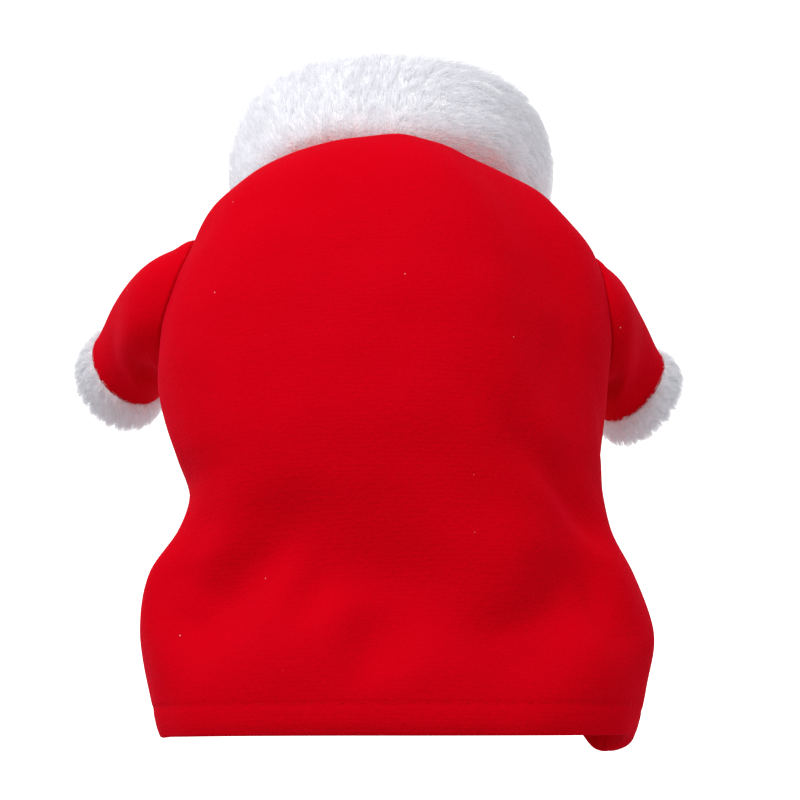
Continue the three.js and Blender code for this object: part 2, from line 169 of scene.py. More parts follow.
def section_value(name, down):
    """One column of the body sections at mm down the back, on a smooth curve through the rows."""
    values = sections[name]
    spans = np.diff(section_down)
    slopes = np.diff(values) / spans
    inner = (slopes[:-1] * spans[1:] + slopes[1:] * spans[:-1]) / (spans[:-1] + spans[1:])
    tangents = np.r_[slopes[0], inner, slopes[-1]]
    k = np.clip(np.searchsorted(section_down, down) - 1, 0, len(spans) - 1)
    t = (down - section_down[k]) / spans[k]
    return ((1 + 2 * t) * (1 - t) ** 2 * values[k] + t * (1 - t) ** 2 * spans[k] * tangents[k]
            + t * t * (3 - 2 * t) * values[k + 1] + t * t * (t - 1) * spans[k] * tangents[k + 1])


def plain_body(angle, down):
    """Points of the body without folds, at an angle round from the centre back and mm down the back."""
    power = 2 / section_value("square", down)
    sine, cosine = np.sin(angle), np.cos(angle)
    reach_across = np.where(sine < 0, section_value("left", down), section_value("right", down))
    reach_along = np.where(cosine > 0, section_value("back", down), section_value("front", down))
    across = reach_across * np.sign(sine) * np.abs(sine) ** power
    along = reach_along * np.sign(cosine) * np.abs(cosine) ** power
    tilt = np.radians(section_value("tilt", down))
    forward = section_value("forward", down) - along * np.cos(tilt)
    height = section_value("height", down) + along * np.sin(tilt)
    return np.stack([across, forward, height], -1)


def unit(vectors):
    return vectors / np.maximum(np.linalg.norm(vectors, axis=-1, keepdims=True), 1e-9)


def body_normal(angle, down):
    turn, step = 0.004, 0.5
    around = plain_body(angle + turn, down) - plain_body(angle - turn, down)
    fall = plain_body(angle, down + step) - plain_body(angle, down - step)
    return unit(np.cross(fall, around))


# Folds of the body cloth: degrees round from the centre back, mm down, length, width, run in degrees from
# straight down, and depth. A swell has a depth above zero and a dent one below it.
body_folds = [
    (-54, 238, 36, 14, 67, 1.8),
    (-20, 228, 26, 24, 0, 2.6),
    (-9, 247, 26, 20, 90, 1.2),
    (24, 262, 36, 14, -66, 1.2),
    (53, 234, 24, 18, 0, -2),
    (66, 26, 44, 60, 0, 2.6),
    (84, 158, 55, 20, 50, -2.2),
    (-92, 214, 60, 20, -20, -2.5),
    (94, 222, 60, 20, 15, -2.5),
    (148, 130, 110, 30, 10, -2.5),
    (-158, 150, 100, 28, -12, -2),
]


def fold_depth(angle, down):
    depth = np.zeros(np.broadcast(angle, down).shape)
    for around, at, long, wide, run, deep in body_folds:
        turned = (np.degrees(angle) - around + 180) % 360 - 180
        sideways = turned * cloth_mm_per_degree
        lower = down - at
        way = math.radians(run)
        along = lower * math.cos(way) + sideways * math.sin(way)
        across = sideways * math.cos(way) - lower * math.sin(way)
        depth = depth + deep * np.exp(-(2 * along / long) ** 2 - (2 * across / wide) ** 2)
    return depth


# Creases where the cloth drops into the waist and over the hips. Each runs along points of the cloth, in
# degrees round, mm down and depth at that point; a ridge has a depth below zero. wide_up is how far its upper
# or right bank reaches, and wide_low its other bank.
creases = [
    # The soft ridge above the left of the waist.
    dict(wide_up=26, wide_low=22, line=[
        (-62, 178, 0.0), (-48, 182, -2.6), (-34, 186, -3.4), (-18, 190, -2.4), (0, 194, 0.0)]),
    # The hooked fold at the left of the waist, which runs on to the middle.
    dict(wide_up=22, wide_low=19, line=[
        (-84, 216, 0.0), (-69, 228, 4.5), (-54, 240.5, 12.0), (-46, 245.5, 16.5), (-40, 242, 18.0),
        (-35, 234, 17.0), (-31, 223, 15.0), (-26, 216, 12.5), (-19, 217, 11.0), (-12, 224, 10.0),
        (-5, 232, 8.6), (3, 240, 6.0), (10, 245, 0.0)]),
    # The dip above the hook.
    dict(wide_up=14, wide_low=22, line=[
        (-70, 202, 0.0), (-60, 208, 5.4), (-52, 212, 6.6), (-43, 209, 0.0)]),
    # The broad dip in the middle.
    dict(wide_up=26, wide_low=16, line=[
        (-10, 234, 0.0), (-2, 242, 5.5), (6, 248, 8.0), (14, 250, 6.0), (23, 246, 0.0)]),
    # The pointed fold at the right hip.
    dict(wide_up=18, wide_low=22, line=[
        (13, 274, 0.0), (17, 268, 6.0), (21, 263, 9.5), (25, 258, 11.5), (29, 252, 12.0), (33, 246, 12.0),
        (38, 238, 11.6), (44, 229, 11.0), (50, 220, 9.0), (57, 212, 5.0), (64, 207, 0.0)]),
    # The dip outside that fold.
    dict(wide_up=21, wide_low=11, line=[
        (40, 240, 0.0), (50, 249, 4.2), (60, 251, 5.6), (71, 246, 3.6), (82, 240, 0.0)]),
    # Two small dimples, at the left and in the middle.
    dict(wide_up=9, wide_low=10, line=[
        (-17, 224, 0.0), (-15.5, 234, 6.0), (-16, 244, 6.0), (-19, 255, 0.0)]),
    dict(wide_up=9, wide_low=10, line=[
        (-5, 244, 0.0), (-2, 254, 7.4), (-2.5, 266, 7.8), (-7, 277, 0.0)]),
    # The long ridge down the right of the back, and the hollow beside it.
    dict(wide_up=22, wide_low=44, line=[
        (4, 16, 0.0), (14, 60, -2.4), (21, 100, -3.8), (24, 132, -4.2), (28, 158, -3.6), (36, 184, -2.4),
        (48, 208, -1.4), (56, 226, 0.0)]),
    dict(wide_up=26, wide_low=35, line=[
        (36, 8, 0.0), (40, 38, 6.0), (45, 70, 7.6), (49, 104, 7.0), (52, 126, 6.2), (57, 146, 4.6),
        (65, 164, 2.8), (73, 180, 0.0)]),
    # The drag line from the hollow to the right hip.
    dict(wide_up=11, wide_low=9, line=[
        (20, 153, 0.0), (29, 166, 2.6), (38, 178, 4.0), (49, 190, 4.4), (61, 202, 3.4), (73, 212, 0.0)]),
]
bumps_between_points = 6


def smooth_run(before, start, end, after, t):
    """Points from start to end on a smooth curve that also passes the points before and after them."""
    return 0.5 * (2 * start + (end - before) * t + (2 * before - 5 * start + 4 * end - after) * t ** 2
                  + (3 * start - before - 3 * end + after) * t ** 3)


def crease_depth(angle, down):
    """How far the creases lift the cloth. Each is a smooth line of soft bumps that run together."""
    shape = np.broadcast(angle, down).shape
    sideways = np.broadcast_to(np.degrees(angle), shape) * cloth_mm_per_degree
    lower = np.broadcast_to(down, shape)
    total = np.zeros(shape)
    t = np.linspace(0, 1, bumps_between_points + 1)[:-1, None]
    for crease in creases:
        knots = np.array([(around * cloth_mm_per_degree, at, deep) for around, at, deep in crease["line"]])
        knots = np.concatenate([2 * knots[:1] - knots[1:2], knots, 2 * knots[-1:] - knots[-2:-1]])
        run = smooth_run(*(knots[k:len(knots) - 3 + k, None] for k in range(4)), t)
        run = np.concatenate([run.reshape(-1, 3), knots[-2:-1]])
        up, low = crease["wide_up"], crease["wide_low"]
        for start, end in zip(run[:-1], run[1:]):
            middle = 0.5 * (start + end)
            way_x, way_y = end[0] - start[0], end[1] - start[1]
            span = math.hypot(way_x, way_y)
            from_x, from_y = sideways - middle[0], lower - middle[1]
            gap = np.hypot(from_x, from_y)
            side_share = 0.5 + 0.5 * (way_x * from_y - way_y * from_x) / (span * np.maximum(gap, 1e-6))
            reach = up + (low - up) * side_share
            bump = middle[2] * span / (math.sqrt(math.pi) * 0.5 * (up + low))
            total -= bump * np.exp(-(gap / reach) ** 2)
    return total


# A slight unevenness of the hanging cloth: a few long soft waves in chance directions.
waves = np.random.default_rng(11)
wave_count = 14
wave_length = waves.uniform(26, 70, wave_count)
wave_way = waves.uniform(0, math.pi, wave_count)
wave_start = waves.uniform(0, 2 * math.pi, wave_count)
wave_height = 0.09


def unevenness(angle, down):
    sideways = mean_radius * angle
    total = np.zeros(np.broadcast(angle, down).shape)
    for length, way, start in zip(wave_length, wave_way, wave_start):
        run = sideways * math.cos(way) + down * math.sin(way)
        total += wave_height * np.sin(2 * math.pi * run / length + start)
    return total


def body_point(angle, down, offset):
    normal = body_normal(angle, down)
    lift = fold_depth(angle, down) + crease_depth(angle, down) + unevenness(angle, down) + offset
    return plain_body(angle, down) + normal * lift[..., None]


# The frame's origin is the middle of the neck opening, this far above the neckline.
neck_rise = 20
neck_tilt = math.radians(neckline["tilt"])
neck_middle = np.array([0, neckline["forward"] + neck_rise * math.sin(neck_tilt),
                        neckline["height"] + neck_rise * math.cos(neck_tilt)])


def in_place(points):
    """Points of the upright coat in mm, leant forward about the neck and given in the frame's metres."""
    moved = points - neck_middle
    c, s = math.cos(lean), math.sin(lean)
    y = moved[..., 1] * c + moved[..., 2] * s
    z = moved[..., 2] * c - moved[..., 1] * s
    return MM * np.stack([moved[..., 0], y, z], -1)


def smooth_step(value, low, high):
    t = np.clip((value - low) / (high - low), 0, 1)
    return t * t * (3 - 2 * t)


# The edge above the level of the centre back, in mm and degrees round; the right side hangs lower again.
hem_shape = {
    "left": dict(lift=1.5, rise=6.3, drop=0.0, drop_from=70, drop_to=120, belly_from=100, belly_to=165),
    "right": dict(lift=1.5, rise=7.9, drop=10.0, drop_from=70, drop_to=120, belly_from=116, belly_to=168),
}
belly_length = 235.0
hem_turn_up = 13.0
groove_depth = 0.24
groove_width = 1.3
pucker_height = 0.12
pucker_pitch = 6.5
roll_depth = 1.7
roll_height = 7
edge_round = 0.7


def hem_of_side(away, hem):
    drop = hem["drop"] * smooth_step(away, hem["drop_from"], hem["drop_to"])
    back_and_side = back_hem_down - hem["lift"] - hem["rise"] * (away / 90) ** 2 + drop
    belly_share = smooth_step(away, hem["belly_from"], hem["belly_to"])
    return back_and_side + (belly_length - back_and_side) * belly_share


def hem_down(angle):
    degrees = (np.degrees(angle) + 180) % 360 - 180
    away = np.abs(degrees)
    return np.where(degrees < 0, hem_of_side(away, hem_shape["left"]), hem_of_side(away, hem_shape["right"]))


def roll_under(above, angle):
    """How far the cloth just above the edge curls inwards, less at the sides than at the back and front."""
    share = 0.4 + 0.6 * np.cos(angle) ** 2
    return roll_depth * share * np.clip(1 - above / roll_height, 0, 1) ** 2


def rounded_edge(above):
    return 0.8 * np.clip(1 - above / edge_round, 0, 1) ** 2


def hem_lift(above, angle):
    """How the doubled hem lifts the cloth's outside: a sewn groove, a soft pad below it and a rolled edge."""
    from_groove = above - hem_turn_up
    pucker = np.sin(mean_radius * angle * 2 * math.pi / pucker_pitch) * np.exp(-(from_groove / 3.5) ** 2)
    groove = -groove_depth * np.exp(-(from_groove / groove_width) ** 2)
    pad = 0.2 * smooth_step(hem_turn_up - above, 0.8, 4) * smooth_step(above, 0.5, 6)
    return groove + pad - rounded_edge(above) + pucker_height * pucker - roll_under(above, angle)


def hem_inside(above, angle):
    second_layer = cloth * smooth_step(hem_turn_up + 0.4 - above, 0, 0.8)
    return rounded_edge(above) - cloth - second_layer - roll_under(above, angle)


def mesh_object(name, points, faces, cut_places=None):
    mesh = bpy.data.meshes.new(name)
    corners = faces.shape[1]
    mesh.vertices.add(len(points))
    mesh.vertices.foreach_set("co", in_place(points).astype(np.float32).ravel())
    mesh.loops.add(faces.size)
    mesh.loops.foreach_set("vertex_index", faces.astype(np.int32).ravel())
    mesh.polygons.add(len(faces))
    mesh.polygons.foreach_set("loop_start", np.arange(0, faces.size, corners, dtype=np.int32))
    mesh.polygons.foreach_set("use_smooth", np.ones(len(faces), bool))
    mesh.update(calc_edges=True)
    if cut_places is not None:
        layer = mesh.uv_layers.new(name="cut")
        layer.data.foreach_set("uv", (MM * cut_places).astype(np.float32).ravel())
    made = bpy.data.objects.new(name, mesh)
    scene.collection.objects.link(made)
    return made


def shell(name, outside, inside, cut, closed_round):
    """A sheet of cloth between two grids of points, closed at its edges. cut places them on the flat cut."""
    columns, rows = outside.shape[:2]
    points = np.concatenate([outside.reshape(-1, 3), inside.reshape(-1, 3)])
    inner = columns * rows
    spans = columns if closed_round else columns - 1
    column, row = np.meshgrid(np.arange(spans), np.arange(rows - 1), indexing="ij")
    here = (column * rows + row).ravel()
    beside = ((column + 1) % columns * rows + row).ravel()
    faces = [np.stack([here, here + 1, beside + 1, beside], 1)]
    faces.append(inner + np.stack([here, beside, beside + 1, here + 1], 1))
    top = np.arange(spans) * rows
    next_top = (np.arange(spans) + 1) % columns * rows
    low, next_low = top + rows - 1, next_top + rows - 1
    faces.append(np.stack([top, next_top, inner + next_top, inner + top], 1))
    faces.append(np.stack([low, inner + low, inner + next_low, next_low], 1))
    if not closed_round:
        first = np.arange(rows - 1)
        last = first + (columns - 1) * rows
        faces.append(np.stack([first, inner + first, inner + first + 1, first + 1], 1))
        faces.append(np.stack([last, last + 1, inner + last + 1, inner + last], 1))
    faces = np.concatenate(faces)
    cut_places = np.concatenate([cut.reshape(-1, 2)] * 2)[faces]
    if closed_round:
        # The last span of a tube runs on past the cut's edge, in place of going back to its start.
        wrap = cut_places[..., 0].max(1, keepdims=True) - cut_places[..., 0] > 0.5 * cut[..., 0].max()
        cut_places[..., 0] += np.where(wrap, cut[..., 0].max() + cut[1, 0, 0], 0)
    return mesh_object(name, points, faces, cut_places)


# Rows of points on a panel: even ones down to the hem's strip, then by mm above the edge, closest at the
# groove and at the rolled edge.
hem_strip = 20
rows_to_strip = 118
rows_above_edge = np.r_[np.arange(19.0, 12.9, -0.5), np.arange(12, 4.9, -1.0), np.arange(4.5, -0.01, -0.45)]
seam_sink = 0.9
seam_softness = 1.3


def panel(name, from_degrees, to_degrees, columns):
    """One body panel between two side seams, its edges softened into the seam."""
    angles = np.radians(np.linspace(from_degrees, to_degrees, columns))
    hem = hem_down(angles)[:, None]
    upper = (hem - hem_strip) * np.linspace(0, 1, rows_to_strip)[None, :]
    down = np.concatenate([upper, hem - rows_above_edge[None, :]], 1)
    angle = np.repeat(angles[:, None], down.shape[1], 1)
    inset = seam_gap / 2 / mean_radius
    angle[0] += inset
    angle[-1] -= inset
    above = hem - down
    from_seam = mean_radius * np.minimum(angle - angles[0], angles[-1] - angle)
    seam_dip = -seam_sink * np.exp(-from_seam / seam_softness)
    outside = body_point(angle, down, hem_lift(above, angle) + seam_dip)
    inside = body_point(angle, down, hem_inside(above, angle))
    cut = np.stack([mean_radius * (angle - angles[0]), down], -1)
    return shell(name, outside, inside, cut, False)


# Armholes: each sleeve's own opening, cut through both panels at the side seam. around and down are its
# middle, in degrees and mm, and wide and tall half its size. ring, axis and radius are the middle, way and
# size of the cuff seam, puff is how full the sleeve is, and the cuff has a length and a drop of its end.
sleeve_sizes = {
    "left": dict(side=-1, around=101, down=72, wide=27, tall=43.5, puff=1.62, radius=20,
                 ring=(-126.4, 68, 192.2), axis=(-0.60, 0.75, -0.28), cuff_length=11.5, cuff_drop=4.5),
    "right": dict(side=1, around=103, down=82, wide=27, tall=40, puff=1.25, radius=20,
                  ring=(114, 60, 180.5), axis=(0.69, 0.58, -0.43), cuff_length=9.5, cuff_drop=3),
}
plug_steps = 96
plug_ring_heights = (-9, -4, 0, 6)
plug_cap_heights = (-20.0, 18.0)


def armhole_point(size, turn, inset, offset):
    wide = size["wide"] - inset / cloth_mm_per_degree
    tall = size["tall"] - inset
    angle = size["side"] * np.radians(size["around"] + wide * np.cos(turn))
    return body_point(angle, size["down"] + tall * np.sin(turn), np.full(np.shape(angle), float(offset)))


def armhole_plug(size):
    """A closed plug through the cloth, to cut one armhole with."""
    turns = np.linspace(0, 2 * math.pi, plug_steps, endpoint=False)
    rings = [armhole_point(size, turns, cloth, height) for height in plug_ring_heights]
    middle_angle = np.array([size["side"] * math.radians(size["around"])])
    middle_down = np.array([size["down"]])
    caps = [body_point(middle_angle, middle_down, np.array([height])) for height in plug_cap_heights]
    points = np.concatenate(rings + caps)
    inner_cap = len(rings) * plug_steps
    top = inner_cap - plug_steps
    faces = []
    for k in range(plug_steps):
        after = (k + 1) % plug_steps
        for low in range(0, top, plug_steps):
            faces.append((low + k, low + after, low + plug_steps + after, low + plug_steps + k))
        faces.append((inner_cap, after, k))
        faces.append((inner_cap + 1, top + k, top + after))
    mesh = bpy.data.meshes.new("armhole_plug")
    mesh.from_pydata([tuple(point) for point in in_place(points)], [], faces)
    plug = bpy.data.objects.new("armhole_plug", mesh)
    scene.collection.objects.link(plug)
    return plug


def cut_armholes(piece):
    for size in sleeve_sizes.values():
        plug = armhole_plug(size)
        cutter = piece.modifiers.new("armhole", "BOOLEAN")
        cutter.operation = "DIFFERENCE"
        cutter.solver = "EXACT"
        cutter.object = plug
        depsgraph = bpy.context.evaluated_depsgraph_get()
        cut_mesh = bpy.data.meshes.new_from_object(piece.evaluated_get(depsgraph))
        piece.modifiers.clear()
        piece.data = cut_mesh
        bpy.data.objects.remove(plug)
    return piece


def noise(tree, place, scale, detail, roughness=0.5):
    node = tree.nodes.new("ShaderNodeTexNoise")
    node.inputs["Scale"].default_value = scale
    node.inputs["Detail"].default_value = detail
    node.inputs["Roughness"].default_value = roughness
    tree.links.new(place.outputs["Object"], node.inputs["Vector"])
    return node.outputs["Fac"]


def worked_out(tree, operation, *values):
    """The result of a sum; each value is a number or another node's output."""
    node = tree.nodes.new("ShaderNodeMath")
    node.operation = operation
    for socket, value in zip(node.inputs, values):
        if isinstance(value, bpy.types.NodeSocket):
            tree.links.new(value, socket)
        else:
            socket.default_value = value
    return node.outputs[0]


def spread_over(tree, value, low, high):
    """A value between 0 and 1 as one between low and high."""
    node = tree.nodes.new("ShaderNodeMapRange")
    node.inputs["To Min"].default_value = low
    node.inputs["To Max"].default_value = high
    tree.links.new(value, node.inputs["Value"])
    return node.outputs["Result"]


def colour_between(tree, value, low, low_colour, high, high_colour):
    node = tree.nodes.new("ShaderNodeValToRGB")
    stops = node.color_ramp.elements
    stops[0].position = low
    stops[0].color = low_colour
    stops[1].position = high
    stops[1].color = high_colour
    tree.links.new(value, node.inputs["Fac"])
    return node.outputs["Color"]


def roughen(tree, shader, height, strength, distance):
    bump = tree.nodes.new("ShaderNodeBump")
    bump.inputs["Strength"].default_value = strength
    bump.inputs["Distance"].default_value = distance
    tree.links.new(height, bump.inputs["Height"])
    tree.links.new(bump.outputs["Normal"], shader.inputs["Normal"])


def fleece_material():
    """Brushed fleece: saturated red, a short matt nap, faint knit lines under it and a few specks of lint."""
    material, tree, shader = new_material("red_fleece")
    link = tree.links.new
    cut = tree.nodes.new("ShaderNodeUVMap")
    cut.uv_map = "cut"
    place = tree.nodes.new("ShaderNodeTexCoord")
    nap = noise(tree, place, 1500, 4, 0.65)
    tufts = noise(tree, place, 420, 3)
    cloud = noise(tree, place, 45, 3)

    knit = tree.nodes.new("ShaderNodeTexWave")
    knit.bands_direction = "Y"
    knit.inputs["Scale"].default_value = 165
    knit.inputs["Distortion"].default_value = 1.6
    knit.inputs["Detail"].default_value = 2
    knit.inputs["Detail Scale"].default_value = 1.5
    link(cut.outputs["UV"], knit.inputs["Vector"])

    faint_cloud = worked_out(tree, "MULTIPLY_ADD", cloud, 0.25, 0.38)
    depth_of_red = worked_out(tree, "MULTIPLY", worked_out(tree, "ADD", nap, faint_cloud), 0.8)
    red = colour_between(tree, depth_of_red, 0.55, (0.58, 0.0001, 0.0045, 1), 1.0, (0.69, 0.0003, 0.009, 1))

    lint = tree.nodes.new("ShaderNodeTexVoronoi")
    lint.inputs["Scale"].default_value = 62
    lint.inputs["Randomness"].default_value = 1
    link(place.outputs["Object"], lint.inputs["Vector"])
    speck = tree.nodes.new("ShaderNodeMapRange")
    speck.inputs["From Min"].default_value = 0.022
    speck.inputs["From Max"].default_value = 0.012
    link(lint.outputs["Distance"], speck.inputs["Value"])
    specked = tree.nodes.new("ShaderNodeMix")
    specked.data_type = "RGBA"
    specked.inputs["B"].default_value = (0.85, 0.45, 0.48, 1)
    link(speck.outputs["Result"], specked.inputs["Factor"])
    link(red, specked.inputs["A"])
    link(specked.outputs["Result"], shader.inputs["Base Color"])

    link(spread_over(tree, tufts, 0.84, 0.98), shader.inputs["Roughness"])
    shader.inputs["Specular IOR Level"].default_value = 0.01
    shader.inputs["Sheen Weight"].default_value = 0.15
    shader.inputs["Sheen Roughness"].default_value = 0.4
    shader.inputs["Sheen Tint"].default_value = (1.0, 0.03, 0.14, 1)
    nap_height = worked_out(tree, "MULTIPLY_ADD", nap, 0.55, tufts)
    height = worked_out(tree, "MULTIPLY_ADD", knit.outputs["Fac"], 0.09, nap_height)
    roughen(tree, shader, height, 0.5, 0.0007)
    return material


def thread_stitches(name, from_degrees, to_degrees):
    """The topstitching of a hem: short thread stitches sunk in the groove above the turned-up edge."""
    stitch, pitch, thick, sides = 2.7, 3.6, 0.17, 6
    count = int(mean_radius * math.radians(to_degrees - from_degrees) / pitch) - 1
    starts = math.radians(from_degrees) + (np.arange(count) + 0.6) * pitch / mean_radius
    # Rings along one stitch: share of its length and of its thickness.
    rings = np.array([(0.0, 0.2), (0.12, 0.8), (0.5, 1.0), (0.88, 0.8), (1.0, 0.2)])
    angle = starts[:, None] + rings[None, :, 0] * stitch / mean_radius
    down = hem_down(angle) - hem_turn_up
    sink = -0.3 - 0.25 * np.abs(2 * rings[None, :, 0] - 1) ** 3
    centre = body_point(angle, down, sink)
    normal = body_normal(angle, down)
    along = unit(np.gradient(centre, axis=1))
    side = np.cross(normal, along)
    turn = np.linspace(0, 2 * math.pi, sides, endpoint=False)
    spread = np.cos(turn)[:, None] * normal[:, :, None] + np.sin(turn)[:, None] * side[:, :, None]
    points = centre[:, :, None] + thick * rings[None, :, 1, None, None] * spread
    faces = []
    for ring in range(0, (len(rings) - 1) * sides, sides):
        for k in range(sides):
            after = (k + 1) % sides
            faces.append((ring + k, ring + after, ring + sides + after, ring + sides + k))
    stitch_points = len(rings) * sides
    every = (np.array(faces)[None] + stitch_points * np.arange(count)[:, None, None]).reshape(-1, 4)
    return mesh_object(name, points.reshape(-1, 3), every)


def thread_material():
    """Red polyester sewing thread, a little darker than the fleece, with a twist."""
    material, tree, shader = new_material("red_thread")
    place = tree.nodes.new("ShaderNodeTexCoord")
    twist = tree.nodes.new("ShaderNodeTexWave")
    twist.inputs["Scale"].default_value = 900
    twist.bands_direction = "DIAGONAL"
    tree.links.new(place.outputs["Object"], twist.inputs["Vector"])
    ridges = twist.outputs["Fac"]
    roughen(tree, shader, ridges, 0.4, 0.0001)
    red = colour_between(tree, ridges, 0.0, (0.5, 0.0003, 0.003, 1), 1.0, (0.6, 0.0004, 0.005, 1))
    tree.links.new(red, shader.inputs["Base Color"])
    shader.inputs["Roughness"].default_value = 0.7
    shader.inputs["Specular IOR Level"].default_value = 0.05
    return material


stitches_from_seam = 1
red_fleece = fleece_material()
red_thread = thread_material()
back = cut_armholes(panel("back_panel", -seam_angle, seam_angle, 190))
back.data.materials.append(red_fleece)
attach(back, "root")
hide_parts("back")
back_stitches = thread_stitches("back_hem_stitches", -seam_angle + stitches_from_seam,
                                seam_angle - stitches_from_seam)
back_stitches.data.materials.append(red_thread)
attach(back_stitches, "root")

# Chest and belly panel: the same fleece, joined to the back along both sides and cut shorter under the belly.
# Its hem is turned up and topstitched as the back's is, and both lines of stitching meet at the side seams.
far_seam_angle = 360 - seam_angle
front = cut_armholes(panel("front_panel", seam_angle, far_seam_angle, 110))
front.data.materials.append(red_fleece)
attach(front, "root")
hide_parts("front")
front_stitches = thread_stitches("front_hem_stitches", seam_angle + stitches_from_seam,
                                 far_seam_angle - stitches_from_seam)
front_stitches.data.materials.append(red_thread)
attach(front_stitches, "root")

# Sleeves: two short fleece tubes, set full into the armholes and drawn in at the cuff seam.
# Each is creased softly where it bends forward.
sleeve_columns, sleeve_rows = 112, 46
sleeve_cut_radius, sleeve_cut_length = 26, 62
# Folds of a sleeve: degrees round it from its inner side by way of its underside, share of its length, width
# in degrees, width as a share of its length, and depth in mm. They fade in over the first stretch from the
# armhole.
sleeve_folds = [
    (200, 0.42, 70, 0.3, -0.5),
    (150, 0.72, 60, 0.22, -0.7),
    (92, 0.26, 40, 0.42, -4.2),
    (236, 0.78, 110, 0.42, 2.6),
    (250, 0.18, 110, 0.5, -5.5),
]
folds_full_from = 0.14


def sleeve_frame(size):
    """The cuff seam's middle, the way the sleeve's end points, and the ways to its underside and inside."""
    axis = unit(np.array(size["axis"], float))
    low = np.array([0, 0, -1.0])
    low = unit(low - axis * (low @ axis))
    inward = np.cross(axis, low)
    if inward @ np.array([-size["side"], 0.6, 0]) < 0:
        inward = -inward
    return np.array(size["ring"], float), axis, low, inward


def dent_depth(dents, angle, along):
    """The depth of dents and swells, each given by degrees round, place along, two widths and its depth."""
    depth = np.zeros(np.shape(angle))
    for around, at, wide, tall, deep in dents:
        turned = (np.degrees(angle) - around + 180) % 360 - 180
        depth = depth + deep * np.exp(-(2 * turned / wide) ** 2 - (2 * (along - at) / tall) ** 2)
    return depth


def sleeve_surface(size, turn, along, inset):
    """Points of a sleeve, which leaves the armhole mostly straight out and curves round to the cuff seam."""
    centre, axis, low, inward = sleeve_frame(size)
    root = armhole_point(size, turn, inset, 0.1)
    angle = size["side"] * np.radians(size["around"] + size["wide"] * np.cos(turn))
    normal = body_normal(angle, size["down"] + size["tall"] * np.sin(turn))
    outward = np.cos(turn)[..., None] * inward + np.sin(turn)[..., None] * low
    end = centre + (size["radius"] - inset) * outward
    reach = end - root
    length = np.linalg.norm(reach, axis=-1, keepdims=True)
    start_way = size["puff"] * (0.62 * length * normal + 0.38 * reach)
    t = along[..., None]
    point = ((1 + 2 * t) * (1 - t) ** 2 * root + t * (1 - t) ** 2 * start_way
             + t * t * (3 - 2 * t) * end + t * t * (t - 1) * length * axis)
    depth = dent_depth(sleeve_folds, turn, along) * smooth_step(along, 0, folds_full_from)
    return point + outward * depth[..., None]


def sleeve(name, size):
    round_turns = np.linspace(0, 2 * math.pi, sleeve_columns, endpoint=False)
    turn = np.repeat(round_turns[:, None], sleeve_rows, 1)
    along = np.repeat(np.linspace(0, 1, sleeve_rows)[None, :], sleeve_columns, 0)
    outside = sleeve_surface(size, turn, along, 0.0)
    inside = sleeve_surface(size, turn, along, cloth)
    cut = np.stack([sleeve_cut_radius * turn, sleeve_cut_length * along], -1)
    return shell(name, outside, inside, cut, True)


for side, flat, area in (("left", (0.208, 0.091), 0.0104), ("right", (0.201, 0.073), 0.0079)):
    made = sleeve(f"{side}_sleeve", sleeve_sizes[side])
    made.data.materials.append(red_fleece)
    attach(made, "root")
    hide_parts(f"sleeve_{side}")

# Collar: one band of long white plush folded double and sewn round the neckline, standing up round the neck.
# Its silky pile is about 8 mm long and lies in small tufts. It is combed up on the left and at the back, and
# across and down on the right.
collar_flare = 9
collar_ease = 2
collar_corner_swell = 4
# The band's section, closed: mm along the neck from the seam, and mm out from the band's middle.
collar_skin = [(0, 0.4), (3, 4.6), (10, 9.0), (22, 10.6), (35, 10.4), (43.5, 7.0), (47.4, 0.8), (45, -4.0),
               (31, -5.0), (12, -4.2), (1, -2.6)]
# Dents and swells of the band: degrees round from the centre back, mm along the neck, width, height, depth.
collar_dents = [
    (-64, 18, 22, 34, -3.0),
    (-40, 30, 30, 26, 1.0),
    (22, 14, 26, 20, -1.4),
    (40, 30, 34, 16, 1.6),
    (62, 14, 20, 30, -2.6),
    (84, 22, 70, 60, 1.8),
    (-8, 38, 30, 16, 0.8),
    (128, 24, 30, 34, -2.0),
    (-132, 20, 30, 34, -2.2),
]


def closed_curve(points, count):
    """Points spaced evenly along a smooth closed curve through the given points, and the curve's length."""
    points = np.array(points, float)
    t = np.linspace(0, 1, 24, endpoint=False)[:, None]
    fine = []
    for k in range(len(points)):
        fine.append(smooth_run(*(points[(k + step) % len(points)] for step in (-1, 0, 1, 2)), t))
    fine = np.concatenate(fine + [fine[0][:1]])
    run = np.r_[0, np.cumsum(np.linalg.norm(np.diff(fine, axis=0), axis=1))]
    even = np.linspace(0, run[-1], count, endpoint=False)
    return np.stack([np.interp(even, run, fine[:, 0]), np.interp(even, run, fine[:, 1])], 1), run[-1]


def collar_point(angle, along, out):
    """Points of the collar band, which flares a little and is fuller at the two corners of the back."""
    axis = np.array([0, math.sin(neck_tilt), math.cos(neck_tilt)])
    backward = np.array([0, -math.cos(neck_tilt), math.sin(neck_tilt)])
    across = np.array([1.0, 0, 0])
    sine, cosine = np.sin(angle)[..., None], np.cos(angle)[..., None]
    reach_across = np.where(sine < 0, neckline["left"], neckline["right"])
    reach_along = np.where(cosine > 0, neckline["back"], neckline["front"])
    outward = unit(across * sine / reach_across + backward * cosine / reach_along)
    corner = np.where(cosine > 0, collar_corner_swell * (2 * sine * cosine) ** 2, 0)
    rise = smooth_step(along, 0, 3)[..., None]
    flare = math.tan(math.radians(collar_flare)) * along[..., None]
    spread = out[..., None] + flare + rise * (collar_ease + corner)
    middle = np.array([0, neckline["forward"], neckline["height"]])
    base = middle + across * reach_across * sine + backward * reach_along * cosine
    dented = dent_depth(collar_dents, angle, along)
    spread = spread + (dented * smooth_step(along, 0, 4))[..., None]
    return base + axis * (seam_gap + along[..., None]) + outward * spread


